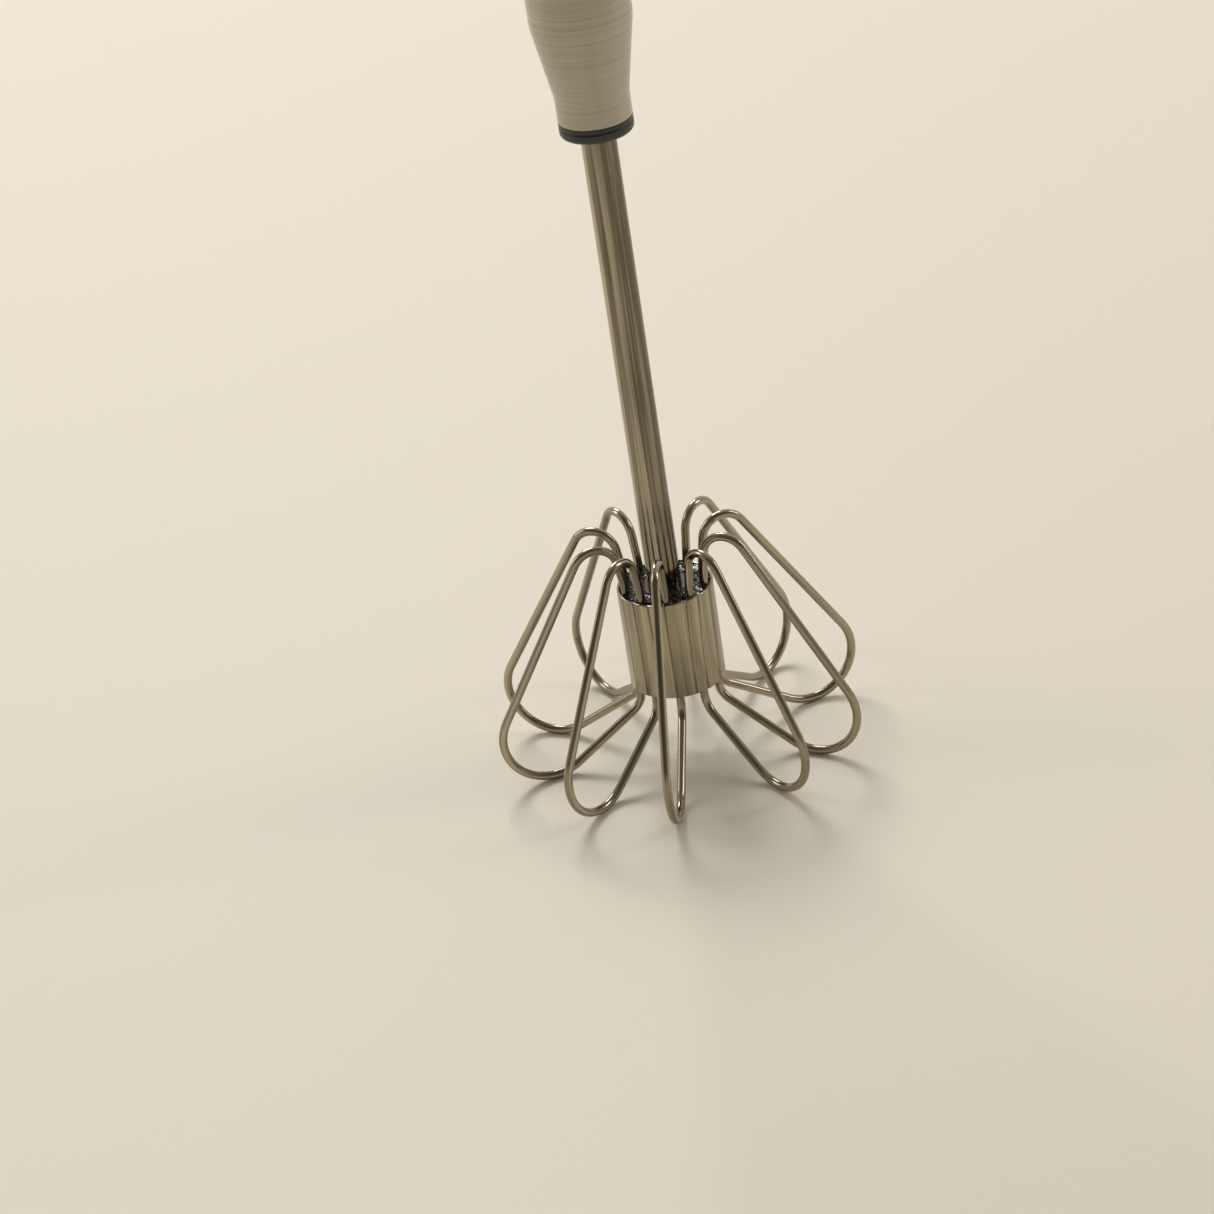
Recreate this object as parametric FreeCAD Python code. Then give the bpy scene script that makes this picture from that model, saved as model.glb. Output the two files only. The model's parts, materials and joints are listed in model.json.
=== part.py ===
import FreeCAD, Part
import math
import os
from FreeCAD import Placement, Rotation, Vector

# Push whisk: ten wire loops on a spindle that spins when the handle is pressed down.
#
# Millimetres, +Z up. The whisk's axis is X = Y = 0, and Z = 0 is the level of the lowest
# points of the wires, as it would stand with its head on a table.
#
# From the bottom up: ten bent wire loops have both ends set in the fluted core of a steel
# ferrule. The core is pinned to a thin spindle tube. The tube's top carries a nut with a
# twisted slot, and through the slot runs a twisted flat strip that hangs from a plug in the
# handle. Pressing the handle pushes the strip through the nut, so that the tube and the
# wires turn. A spring in the handle pushes the tube back out.

# ---- Driving dimensions, in millimetres and degrees ----

# Wire loops. Heights and radii are those of the wire's middle line.
WIRE_COUNT = 10
WIRE_D = 1.8
HEAD_D = 80.0  # over the wires, where the head is widest
ARCH_RISE = 11.5  # top of a loop above the ferrule's rim
ARCH_BEND_R = 4.8  # over the top of a loop
LEAN_DEG = 8.5  # inner leg, outwards from upright
FLARE_DEG = 31.5  # outer leg, outwards from upright
SEAT_BEND_R = 12.0  # where the inner leg begins to lean
WAIST_BEND_R = 10.0  # where a loop is widest and turns in
THROAT_BEND_R = 5.0  # where the leg under the head turns up to the ferrule
THROAT_DROP = 1.4  # end of that bend, below the ferrule
SEAT_DEPTH = 8.0  # wire end inside the ferrule
# How far each loop is turned about its own seat. Hand-set wires are never quite even.
LOOP_TURN_DEG = -3.0  # all loops
LOOP_ZIGZAG_DEG = 5.0  # more and less, by turns, on the front loops
ZIGZAG_LOOPS = 4

# Ferrule, its core and the filling at its two ends
FERRULE_D = 20.0
FERRULE_WALL = 0.6
FERRULE_H = 22.0
FERRULE_EDGE_R = 0.2
FILLING_RECESS = 0.5  # below the ferrule's edge
FILLING_DEPTH = 2.5
BOSS_D = 9.6  # of the core, round the spindle
BOSS_PROUD = 0.3  # above the filling
FIT_GAP = 0.05  # between pieces that are set or pressed together
HUB_PIN_D = 1.5

# Spindle tube and the plug in its lower end
TUBE_D = 7.0
TUBE_WALL = 0.6
TUBE_BELOW = 1.2  # below the ferrule
TUBE_SHOWN = 100.0  # between the ferrule and the handle, at rest
END_PLUG_DEPTH = 6.0
END_PLUG_DOME = 1.6

# Drive
STROKE = 60.0
STRIP_LEAD = 30.0  # travel for one turn
STRIP_W = 4.0
STRIP_T = 1.2
STRIP_BELOW_NUT = 12.0  # at rest
TANG_H = 14.0  # straight upper end of the strip
SLOT_GAP = 0.15  # between the strip and its slot in the nut
SLOT_H = 3.0
NUT_D = 15.0
NUT_FLANGE_H = 5.0
NUT_SPIGOT_H = 8.0
NUT_BORE_D = 4.7  # under the slot, round the strip's sweep

# Spring and the washer under it
SPRING_WIRE_D = 1.1
SPRING_COILS = 18
SPRING_SPARE = 10.2
SPRING_SIDE_GAP = 0.6
WASHER_T = 1.2
WASHER_SIDE_GAP = 0.4
WASHER_BORE_D = 5.6
WASHER_GAP = 0.05  # washer above the nut

# Handle
GRIP_D = 20.0
SHELL_WALL = 0.8
NECK_D = 14.6
NECK_H = 5.0
SHOULDER_H = 15.0  # from the neck out to the grip
SHOULDER_R = 14.0  # blends at both ends of the shoulder
RUN_GAP = 0.05  # between the spindle tube and its bush
BUSH_FLANGE_H = 3.0
BUSH_SPIGOT_H = 26.0
BUSH_EDGE_R = 1.0
WIPER_D = 10.4
WIPER_DEPTH = 1.6
STOP_GAP = 0.3  # between the nut and the bush, at rest
PLUG_H = 17.0
ANCHOR_PIN_D = 2.0
CAP_SKIRT_H = 5.0
CAP_BAND_H = 2.5
CAP_DOME_H = 6.0
CAP_WALL = 1.2

# ---- Sizes and heights that follow from them ----

WIRE_R = WIRE_D / 2
FERRULE_R = FERRULE_D / 2
FERRULE_BORE_R = FERRULE_R - FERRULE_WALL
SEAT_R = FERRULE_BORE_R - FIT_GAP - WIRE_R
TUBE_R = TUBE_D / 2
TUBE_BORE_R = TUBE_R - TUBE_WALL
GRIP_R = GRIP_D / 2
GRIP_BORE_R = GRIP_R - SHELL_WALL
NECK_R = NECK_D / 2
NECK_BORE_R = NECK_R - SHELL_WALL
LEAN = math.radians(LEAN_DEG)
FLARE = math.radians(FLARE_DEG)


def unit(angle):
    """Direction in the XZ plane, at an angle from +X towards +Z, in radians."""
    return Vector(math.cos(angle), 0, math.sin(angle))


def loop_corners():
    """Corners of a loop's middle line in the XZ plane, with Z = 0 at the ferrule's rim.

    Returns the corners and the lowest height of the line. The bends over the arch and at
    the waist turn by more than a right angle, so each of them has two corners."""

    def bend_corners(centre, radius, first, last):
        eighth = (last - first) / 4
        reach = radius / math.cos(eighth)
        return [centre + unit(angle) * reach for angle in (first + eighth, last - eighth)]

    lean_z = SEAT_BEND_R * math.tan(LEAN / 2)
    arch_z = ARCH_RISE - ARCH_BEND_R
    inner_z = arch_z + ARCH_BEND_R * math.sin(LEAN)
    inner_x = SEAT_R + (inner_z - lean_z) * math.tan(LEAN)
    arch = Vector(inner_x + ARCH_BEND_R * math.cos(LEAN), 0, arch_z)

    leg_top = arch + unit(FLARE) * ARCH_BEND_R
    waist_x = HEAD_D / 2 - WIRE_R - WAIST_BEND_R
    leg_foot_x = waist_x + WAIST_BEND_R * math.cos(FLARE)
    leg_foot_z = leg_top.z - (leg_foot_x - leg_top.x) / math.tan(FLARE)
    waist = Vector(waist_x, 0, leg_foot_z - WAIST_BEND_R * math.sin(FLARE))

    # The under leg is the line that touches both the waist's bend and the throat's.
    throat_bend = Vector(SEAT_R + THROAT_BEND_R, 0, -FERRULE_H - THROAT_DROP)
    across = throat_bend - waist
    aside = math.asin((WAIST_BEND_R - THROAT_BEND_R) / across.Length)
    under_rise = math.pi - (math.atan2(across.z, across.x) - aside)
    under_angle = -math.pi / 2 - under_rise
    under = waist + unit(under_angle) * WAIST_BEND_R
    throat = Vector(SEAT_R, 0, under.z + (under.x - SEAT_R) * math.tan(under_rise))

    corners = [Vector(SEAT_R, 0, -SEAT_DEPTH), Vector(SEAT_R, 0, lean_z)]
    corners += bend_corners(arch, ARCH_BEND_R, math.pi - LEAN, FLARE)
    corners += bend_corners(waist, WAIST_BEND_R, FLARE, under_angle)
    corners += [throat, Vector(SEAT_R, 0, SEAT_DEPTH - FERRULE_H)]
    return corners, waist.z - WAIST_BEND_R


LOOP_CORNERS, LOOP_LOW = loop_corners()
RIM_Z = WIRE_R - LOOP_LOW
FERRULE_Z = RIM_Z - FERRULE_H
CORE_TOP_Z = RIM_Z - FILLING_RECESS - FILLING_DEPTH
CORE_BOTTOM_Z = FERRULE_Z + FILLING_RECESS + FILLING_DEPTH
TUBE_BOTTOM_Z = FERRULE_Z - TUBE_BELOW
BUSH_Z = RIM_Z + TUBE_SHOWN
SHELL_Z = BUSH_Z + BUSH_FLANGE_H
NUT_Z = SHELL_Z + BUSH_SPIGOT_H + STOP_GAP  # underside of the nut's flange, top of the tube
NUT_TOP_Z = NUT_Z + NUT_FLANGE_H
WASHER_Z = NUT_TOP_Z + WASHER_GAP
SPRING_Z = WASHER_Z + WASHER_T
SPRING_REST_L = STROKE + SPRING_COILS * SPRING_WIRE_D + SPRING_SPARE
PLUG_Z = SPRING_Z + SPRING_REST_L
SHELL_TOP_Z = PLUG_Z + PLUG_H + CAP_SKIRT_H
STRIP_BOTTOM_Z = NUT_TOP_Z - STRIP_BELOW_NUT
STRIP_TOP_Z = PLUG_Z + TANG_H


def rod(radius, bottom, top):
    """Upright cylinder on the axis."""
    return Part.makeCylinder(radius, top - bottom, Vector(0, 0, bottom))


def tube(outer, inner, bottom, top):
    """Upright tube on the axis."""
    return rod(outer, bottom, top).cut(rod(inner, bottom, top))


def cross_rod(radius, length, height, direction):
    """Level cylinder through the axis, as long each way."""
    start = Vector(0, 0, height) - direction * (length / 2)
    return Part.makeCylinder(radius, length, start, direction)


def corner_path(corners, radii):
    """Straight runs between corners, with an arc of each radius at each inner corner."""
    edges = []
    start = corners[0]
    for before, corner, after, radius in zip(corners, corners[1:], corners[2:], radii):
        into = (corner - before).normalize()
        out = (after - corner).normalize()
        turn = into.getAngle(out)
        cut = radius * math.tan(turn / 2)
        enter = corner - into * cut
        leave = corner + out * cut
        middle = corner + (out - into).normalize() * (radius / math.cos(turn / 2) - radius)
        if (enter - start).Length > 0.001:
            edges.append(Part.LineSegment(start, enter).toShape())
        edges.append(Part.Arc(enter, middle, leave).toShape())
        start = leave
    edges.append(Part.LineSegment(start, corners[-1]).toShape())
    return Part.Wire(edges)


def round_sweep(path, radius, start, direction):
    """Solid of a round section carried along a path."""
    section = Part.Wire(Part.makeCircle(radius, start, direction))
    return path.makePipeShell([section], True, True)


def loop_angle(index):
    """Angle of a loop's seat round the whisk's axis, in degrees."""
    return 360 / WIRE_COUNT * index - 90


def loop_turn(index):
    """How far a loop is turned about its own seat, in degrees."""
    if index < ZIGZAG_LOOPS:
        return LOOP_TURN_DEG - LOOP_ZIGZAG_DEG * (-1) ** index
    return LOOP_TURN_DEG


def whisk_wire(index):
    """One loop: up out of its seat, over, down to the waist, and in under to its other end."""
    arch_r = ARCH_BEND_R
    waist_r = WAIST_BEND_R
    radii = [SEAT_BEND_R, arch_r, arch_r, waist_r, waist_r, THROAT_BEND_R]
    path = corner_path(LOOP_CORNERS, radii)
    loop = round_sweep(path, WIRE_R, LOOP_CORNERS[0], Vector(0, 0, 1))
    loop.rotate(Vector(SEAT_R, 0, 0), Vector(0, 0, 1), loop_turn(index))
    loop.rotate(Vector(0, 0, 0), Vector(0, 0, 1), loop_angle(index))
    loop.translate(Vector(0, 0, RIM_Z))
    return loop


def cut_seats(solid, bottom, top):
    """Cut the wires' seats through a solid, between two heights."""
    for index in range(WIRE_COUNT):
        turn = Rotation(Vector(0, 0, 1), loop_angle(index))
        seat = Part.makeCylinder(WIRE_R + FIT_GAP, top - bottom, Vector(SEAT_R, 0, bottom))
        seat.Placement = Placement(Vector(0, 0, 0), turn)
        solid = solid.cut(seat)
    return solid


def rounded_edges(solid, radius, wanted):
    """Solid with a fillet on each edge that wanted(edge) picks."""
    return solid.makeFillet(radius, [edge for edge in solid.Edges if wanted(edge)])


def is_level_circle(edge, height, radius):
    """True for an edge that is a level circle of this radius at this height."""
    box = edge.BoundBox
    flat = abs(box.ZMin - height) < 0.001 and abs(box.ZMax - height) < 0.001
    return flat and abs(box.XLength / 2 - radius) < 0.001


def hub_ferrule():
    """Open steel sleeve that holds the wires against the core."""
    sleeve = tube(FERRULE_R, FERRULE_BORE_R, FERRULE_Z, RIM_Z)

    def is_end(edge):
        return any(
            is_level_circle(edge, height, radius)
            for height in (FERRULE_Z, RIM_Z)
            for radius in (FERRULE_R, FERRULE_BORE_R)
        )

    return rounded_edges(sleeve, FERRULE_EDGE_R, is_end)


def hub_core():
    """Fluted core: the wires lie in its flutes, and its boss rises round the spindle."""
    bore_r = TUBE_R + FIT_GAP
    core = tube(FERRULE_BORE_R - FIT_GAP, bore_r, CORE_BOTTOM_Z, CORE_TOP_Z)
    boss_top = RIM_Z - FILLING_RECESS + BOSS_PROUD
    core = core.fuse(tube(BOSS_D / 2, bore_r, CORE_TOP_Z, boss_top)).removeSplitter()
    core = cut_seats(core, RIM_Z - SEAT_DEPTH - FIT_GAP, CORE_TOP_Z)
    core = cut_seats(core, CORE_BOTTOM_Z, FERRULE_Z + SEAT_DEPTH + FIT_GAP)
    return core.cut(cross_rod(HUB_PIN_D / 2 + FIT_GAP, FERRULE_D, hub_pin_z(), hub_pin_way()))


def hub_pin_z():
    """Height of the hub pin, half way between the two sets of wire ends."""
    return RIM_Z - FERRULE_H / 2


def hub_pin_way():
    """Direction of the hub pin, between two wires."""
    return Rotation(Vector(0, 0, 1), loop_angle(0.5)).multVec(Vector(1, 0, 0))


def hub_pin():
    """Pin across the core and the spindle, covered by the ferrule."""
    length = 2 * (FERRULE_BORE_R - 2 * FIT_GAP) - HUB_PIN_D / 2
    return cross_rod(HUB_PIN_D / 2, length, hub_pin_z(), hub_pin_way())


def upper_filling():
    """Filling between the boss and the ferrule, round the wires at the top."""
    outer = FERRULE_BORE_R - FIT_GAP
    ring = tube(outer, BOSS_D / 2, CORE_TOP_Z, CORE_TOP_Z + FILLING_DEPTH)
    return cut_seats(ring, CORE_TOP_Z, CORE_TOP_Z + FILLING_DEPTH)


def lower_filling():
    """Filling between the spindle and the ferrule, round the wires at the bottom."""
    bottom = CORE_BOTTOM_Z - FILLING_DEPTH
    ring = tube(FERRULE_BORE_R - FIT_GAP, TUBE_R + FIT_GAP, bottom, CORE_BOTTOM_Z)
    return cut_seats(ring, bottom, CORE_BOTTOM_Z)


def spindle_tube():
    """Thin tube from under the ferrule up into the handle."""
    pipe = tube(TUBE_R, TUBE_BORE_R, TUBE_BOTTOM_Z, NUT_Z)
    return pipe.cut(cross_rod(HUB_PIN_D / 2 + FIT_GAP, TUBE_D * 2, hub_pin_z(), hub_pin_way()))


def turned(outline):
    """Solid turned about the axis from closed edges in the XZ plane."""
    face = Part.Face(Part.Wire(outline))
    return face.revolve(Vector(0, 0, 0), Vector(0, 0, 1), 360)


def line(start, end):
    """Straight edge between two (radius, height) pairs."""
    return Part.LineSegment(Vector(start[0], 0, start[1]), Vector(end[0], 0, end[1])).toShape()


def dome(radius, base, height):
    """Part of a ball that stands on a circle, domed upwards, or downwards if height < 0."""
    ball_r = (radius**2 + height**2) / (2 * abs(height))
    centre = Vector(0, 0, base + height - math.copysign(ball_r, height))
    ball = Part.makeSphere(ball_r, centre)
    return ball.common(rod(radius, min(base, base + height), max(base, base + height)))


def tube_end_plug():
    """Plug that closes the spindle tube's lower end."""
    spigot = rod(TUBE_BORE_R - FIT_GAP, TUBE_BOTTOM_Z, TUBE_BOTTOM_Z + END_PLUG_DEPTH)
    return spigot.fuse(dome(TUBE_R, TUBE_BOTTOM_Z, -END_PLUG_DOME)).removeSplitter()


def strip_angle(height):
    """Angle of the strip's width from +X at a height, in degrees."""
    return 360 * (height - STRIP_BOTTOM_Z) / STRIP_LEAD


def twisted_bar(width, thickness, bottom, top):
    """Flat bar twisted evenly about the axis, between two heights."""
    spine = Part.Wire(line((0, bottom), (0, top)))
    guide = Part.makeHelix(STRIP_LEAD, top - bottom, width)
    guide.translate(Vector(0, 0, bottom))
    x, y = width / 2, thickness / 2
    points = [Vector(a, b, bottom) for a, b in ((-x, -y), (x, -y), (x, y), (-x, y), (-x, -y))]
    sweep = Part.BRepOffsetAPI.MakePipeShell(spine)
    sweep.setAuxiliarySpine(Part.Wire(guide), True, 0)
    sweep.add(Part.makePolygon(points))
    sweep.build()
    sweep.makeSolid()
    bar = sweep.shape()
    bar.rotate(Vector(0, 0, 0), Vector(0, 0, 1), strip_angle(bottom))
    return bar


def tang(width, thickness, bottom, top):
    """Straight flat bar on the axis that carries on from the strip's upper end."""
    bar = Part.makeBox(width, thickness, top - bottom, Vector(-width / 2, -thickness / 2, bottom))
    bar.rotate(Vector(0, 0, 0), Vector(0, 0, 1), strip_angle(PLUG_Z))
    return bar


def anchor_pin_z():
    """Height of the pin through the plug and the strip's tang."""
    return PLUG_Z + TANG_H / 2


def anchor_pin_way():
    """Direction of that pin, square to the tang's flat sides."""
    return Rotation(Vector(0, 0, 1), strip_angle(PLUG_Z)).multVec(Vector(0, 1, 0))


def drive_strip():
    """Twisted flat strip with a straight tang, drilled for its pin."""
    strip = twisted_bar(STRIP_W, STRIP_T, STRIP_BOTTOM_Z, PLUG_Z)
    strip = strip.fuse(tang(STRIP_W, STRIP_T, PLUG_Z, STRIP_TOP_Z))
    hole = cross_rod(ANCHOR_PIN_D / 2 + FIT_GAP, STRIP_W, anchor_pin_z(), anchor_pin_way())
    return strip.cut(hole)


def drive_nut():
    """Flanged nut in the top of the spindle tube, with a slot that is twisted as the strip is."""
    nut = rod(NUT_D / 2, NUT_Z, NUT_TOP_Z)
    nut = nut.fuse(rod(TUBE_BORE_R - FIT_GAP, NUT_Z - NUT_SPIGOT_H, NUT_Z))
    nut = nut.cut(rod(NUT_BORE_D / 2, NUT_Z - NUT_SPIGOT_H, NUT_TOP_Z - SLOT_H))
    slot_w = STRIP_W + 2 * SLOT_GAP
    slot_t = STRIP_T + 2 * SLOT_GAP
    return nut.cut(twisted_bar(slot_w, slot_t, NUT_TOP_Z - SLOT_H - 1, NUT_TOP_Z + 1))


def thrust_washer():
    """Washer between the turning nut and the spring."""
    outer = GRIP_BORE_R - WASHER_SIDE_GAP
    return tube(outer, WASHER_BORE_D / 2, WASHER_Z, SPRING_Z)


def return_spring():
    """Compression spring with its ends ground flat."""
    wire_r = SPRING_WIRE_D / 2
    coil_r = GRIP_BORE_R - SPRING_SIDE_GAP - wire_r
    pitch = SPRING_REST_L / SPRING_COILS
    path = Part.makeHelix(pitch, SPRING_REST_L, coil_r)
    way = path.Edges[0].tangentAt(path.Edges[0].FirstParameter)
    coil = round_sweep(Part.Wire(path), wire_r, Vector(coil_r, 0, 0), way)
    ground = tube(GRIP_BORE_R, coil_r - SPRING_WIRE_D, 0, SPRING_REST_L)
    spring = coil.common(ground)
    spring.translate(Vector(0, 0, SPRING_Z))
    return spring


def shoulder_line(inset):
    """Outline of the shell's side from its lower edge to its top, moved in by inset."""
    neck_top = SHELL_Z + NECK_H
    corners = [
        Vector(NECK_R, 0, SHELL_Z),
        Vector(NECK_R, 0, neck_top),
        Vector(GRIP_R, 0, neck_top + SHOULDER_H),
        Vector(GRIP_R, 0, SHELL_TOP_Z),
    ]
    turn = (corners[2] - corners[1]).getAngle(Vector(0, 0, 1))
    shift = inset * math.tan(turn / 2)
    moves = [(-inset, 0), (-inset, shift), (-inset, shift), (-inset, 0)]
    corners = [corner + Vector(x, 0, z) for corner, (x, z) in zip(corners, moves)]
    return corner_path(corners, [SHOULDER_R + inset, SHOULDER_R - inset])


def handle_shell():
    """Steel tube with a neck at its lower end."""
    outer = shoulder_line(0)
    inner = shoulder_line(SHELL_WALL)
    foot = line((NECK_BORE_R, SHELL_Z), (NECK_R, SHELL_Z))
    top = line((GRIP_R, SHELL_TOP_Z), (GRIP_BORE_R, SHELL_TOP_Z))
    return turned([foot] + outer.Edges + [top] + inner.Edges[::-1])


def guide_bush():
    """Bush in the neck that guides the spindle tube, with a seat for the wiper under it."""
    bore_r = TUBE_R + RUN_GAP
    flange = rod(NECK_R, BUSH_Z, SHELL_Z)
    flange = rounded_edges(flange, BUSH_EDGE_R, lambda e: is_level_circle(e, BUSH_Z, NECK_R))
    bush = flange.fuse(rod(NECK_BORE_R - FIT_GAP, SHELL_Z, SHELL_Z + BUSH_SPIGOT_H))
    bush = bush.cut(rod(bore_r, BUSH_Z, SHELL_Z + BUSH_SPIGOT_H))
    return bush.cut(rod(WIPER_D / 2 + FIT_GAP, BUSH_Z, BUSH_Z + WIPER_DEPTH))


def wiper_ring():
    """Soft ring that wipes the spindle tube at the bush's mouth."""
    return tube(WIPER_D / 2, TUBE_R + RUN_GAP, BUSH_Z, BUSH_Z + WIPER_DEPTH - FIT_GAP)


def anchor_plug():
    """Plug at the top of the handle that the strip hangs from and the spring bears on."""
    plug = rod(GRIP_BORE_R - FIT_GAP, PLUG_Z, PLUG_Z + PLUG_H)
    pocket_w = STRIP_W + 2 * FIT_GAP
    pocket_t = STRIP_T + 2 * FIT_GAP
    plug = plug.cut(tang(pocket_w, pocket_t, PLUG_Z, STRIP_TOP_Z + FIT_GAP))
    hole = cross_rod(ANCHOR_PIN_D / 2 + FIT_GAP, GRIP_D, anchor_pin_z(), anchor_pin_way())
    return plug.cut(hole)


def anchor_pin():
    """Pin across the plug and the strip's tang, held in by the shell."""
    length = 2 * (GRIP_BORE_R - 2 * FIT_GAP) - ANCHOR_PIN_D / 2
    return cross_rod(ANCHOR_PIN_D / 2, length, anchor_pin_z(), anchor_pin_way())


def handle_cap():
    """Domed cap with a skirt that fits in the shell."""
    base = SHELL_TOP_Z
    skirt_r = GRIP_BORE_R - FIT_GAP
    cap = rod(GRIP_R, base, base + CAP_BAND_H)
    cap = cap.fuse(dome(GRIP_R, base + CAP_BAND_H, CAP_DOME_H))
    cap = cap.fuse(rod(skirt_r, base - CAP_SKIRT_H, base))
    hollow_r = skirt_r - CAP_WALL
    return cap.cut(rod(hollow_r, base - CAP_SKIRT_H, base + CAP_BAND_H - CAP_WALL)).removeSplitter()


def save(name, solid):
    """Write one piece to parts/, and print what it is."""
    print(name, "valid" if solid.isValid() else "NOT VALID", len(solid.Solids), round(solid.Volume, 1))
    solid.exportStep(os.path.join("parts", name + ".step"))


PIECES = (
    hub_ferrule,
    hub_core,
    hub_pin,
    upper_filling,
    lower_filling,
    spindle_tube,
    tube_end_plug,
    drive_nut,
    drive_strip,
    thrust_washer,
    return_spring,
    guide_bush,
    wiper_ring,
    handle_shell,
    anchor_plug,
    anchor_pin,
    handle_cap,
)

os.makedirs("parts", exist_ok=True)
for number in range(WIRE_COUNT):
    save(f"whisk_wire_{number + 1:02d}", whisk_wire(number))
for piece in PIECES:
    save(piece.__name__, piece())
print("rim at", round(RIM_Z, 2), "handle from", round(BUSH_Z, 2), "top", round(SHELL_TOP_Z, 2))
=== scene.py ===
# %% [markdown]
# # A push-down rotary whisk
# Ten bent wires stand in a steel ferrule on a thin spindle. Pressing the handle down makes the
# spindle and the wires spin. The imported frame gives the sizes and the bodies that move. This
# lesson models the pieces that are seen again, finely enough for polished steel, because a
# mirror finish shows every flat facet of a coarse mesh.

# %% Load the frame
import json
import math

import bpy
from mathutils import Matrix, Vector

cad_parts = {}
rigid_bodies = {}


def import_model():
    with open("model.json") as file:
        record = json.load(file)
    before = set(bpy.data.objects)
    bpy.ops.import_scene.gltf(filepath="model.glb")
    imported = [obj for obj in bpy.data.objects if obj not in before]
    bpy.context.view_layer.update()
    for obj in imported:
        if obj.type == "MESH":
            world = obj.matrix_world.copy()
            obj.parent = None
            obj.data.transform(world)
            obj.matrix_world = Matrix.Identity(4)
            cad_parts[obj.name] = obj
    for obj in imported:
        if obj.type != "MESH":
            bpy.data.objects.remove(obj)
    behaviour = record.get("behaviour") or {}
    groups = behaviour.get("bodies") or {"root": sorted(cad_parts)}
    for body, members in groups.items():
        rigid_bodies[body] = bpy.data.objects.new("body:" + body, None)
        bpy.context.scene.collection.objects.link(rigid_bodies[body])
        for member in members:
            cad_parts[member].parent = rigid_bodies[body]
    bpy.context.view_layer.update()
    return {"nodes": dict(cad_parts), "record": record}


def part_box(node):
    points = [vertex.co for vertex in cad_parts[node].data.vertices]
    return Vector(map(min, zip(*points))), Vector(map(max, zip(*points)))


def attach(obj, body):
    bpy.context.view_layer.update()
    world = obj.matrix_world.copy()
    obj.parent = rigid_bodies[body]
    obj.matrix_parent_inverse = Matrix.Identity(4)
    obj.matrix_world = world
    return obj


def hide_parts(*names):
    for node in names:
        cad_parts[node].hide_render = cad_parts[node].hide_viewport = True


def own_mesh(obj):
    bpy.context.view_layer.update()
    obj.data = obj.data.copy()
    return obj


for leftover in list(bpy.data.objects):
    bpy.data.objects.remove(leftover)
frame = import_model()
nodes = frame["nodes"]
MM = 0.001


# %% [markdown]
# The same few moves shape every new piece: add a ring, extrude it, scale it, and merge what
# meets. They are written once here. Everything is deselected first, because an operator acts
# on all that is selected.

# %% Small modelling moves
TURNED_SIDES = 128
WIDE_SIDES = 160  # for the ferrule, the grip and its cap, where a facet would show sooner
MERGE_WITHIN = 1e-6
END_INSET = 0.5  # how far a closed end's inner ring is moved in, as a part of its radius


def deselect():
    if bpy.context.object and bpy.context.object.mode != "OBJECT":
        bpy.ops.object.mode_set(mode="OBJECT")
    bpy.ops.object.select_all(action="DESELECT")


def activate(piece):
    deselect()
    bpy.context.view_layer.objects.active = piece
    piece.select_set(True)


def start_ring(name, radius, height, sides):
    """A level ring of edges on the axis, left in edit mode with all of it selected."""
    deselect()
    bpy.ops.mesh.primitive_circle_add(vertices=sides, radius=radius, location=(0, 0, height))
    piece = bpy.context.object
    piece.name = piece.data.name = name
    bpy.ops.object.transform_apply(location=True, rotation=True, scale=True)
    bpy.ops.object.mode_set(mode="EDIT")
    bpy.ops.mesh.select_all(action="SELECT")
    return piece


def step_ring(old, new):
    """Extrude the selected ring from one (radius, height) to the next."""
    rise = new[1] - old[1]
    bpy.ops.mesh.extrude_region_move(TRANSFORM_OT_translate={"value": (0, 0, rise)})
    grow = new[0] / old[0]
    bpy.ops.transform.resize(value=(grow, grow, 1))


def finish_mesh(piece, angle=35):
    """Merge what meets, turn the faces outwards, go back to object mode and smooth the shading."""
    bpy.ops.mesh.select_all(action="SELECT")
    bpy.ops.mesh.remove_doubles(threshold=MERGE_WITHIN)
    bpy.ops.mesh.normals_make_consistent(inside=False)
    bpy.ops.object.mode_set(mode="OBJECT")
    bpy.ops.object.shade_smooth_by_angle(angle=math.radians(angle))
    return piece


def turned(name, outline, sides=TURNED_SIDES, angle=35):
    """A closed turned piece. The outline is (radius, height) pairs all the way round."""
    piece = start_ring(name, outline[0][0], outline[0][1], sides)
    for old, new in zip(outline, outline[1:] + outline[:1]):
        step_ring(old, new)
    return finish_mesh(piece, angle)


def capped(name, outline, sides=TURNED_SIDES, angle=35):
    """A turned piece whose outline runs from the axis and back to it, so it has no hole."""
    piece = start_ring(name, outline[0][0], outline[0][1], sides)
    bpy.ops.mesh.edge_face_add()
    bpy.ops.mesh.inset(thickness=outline[0][0] * END_INSET)
    bpy.ops.mesh.poke()
    bpy.ops.mesh.select_all(action="DESELECT")
    bpy.ops.mesh.select_non_manifold()
    for old, new in zip(outline, outline[1:]):
        step_ring(old, new)
    bpy.ops.mesh.edge_face_add()
    bpy.ops.mesh.inset(thickness=outline[-1][0] * END_INSET)
    bpy.ops.mesh.poke()
    return finish_mesh(piece, angle)


def rounded(corner, radius, start, end, steps=6):
    """Points of a round corner about its centre, between two angles in degrees."""
    points = []
    for step in range(steps + 1):
        angle = math.radians(start + (end - start) * step / steps)
        points.append((corner[0] + radius * math.cos(angle), corner[1] + radius * math.sin(angle)))
    return points


def place(piece, body, slot, *replaced):
    """Join a finished piece to its body and hide the frame pieces it stands for. The slot is not used.
    """
    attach(piece, body)
    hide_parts(*replaced)
    size = piece.dimensions / MM
    print(piece.name, "faces", len(piece.data.polygons), "mm", [round(v, 1) for v in size])


print("a turned piece has", TURNED_SIDES, "or", WIDE_SIDES, "sides")


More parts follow.
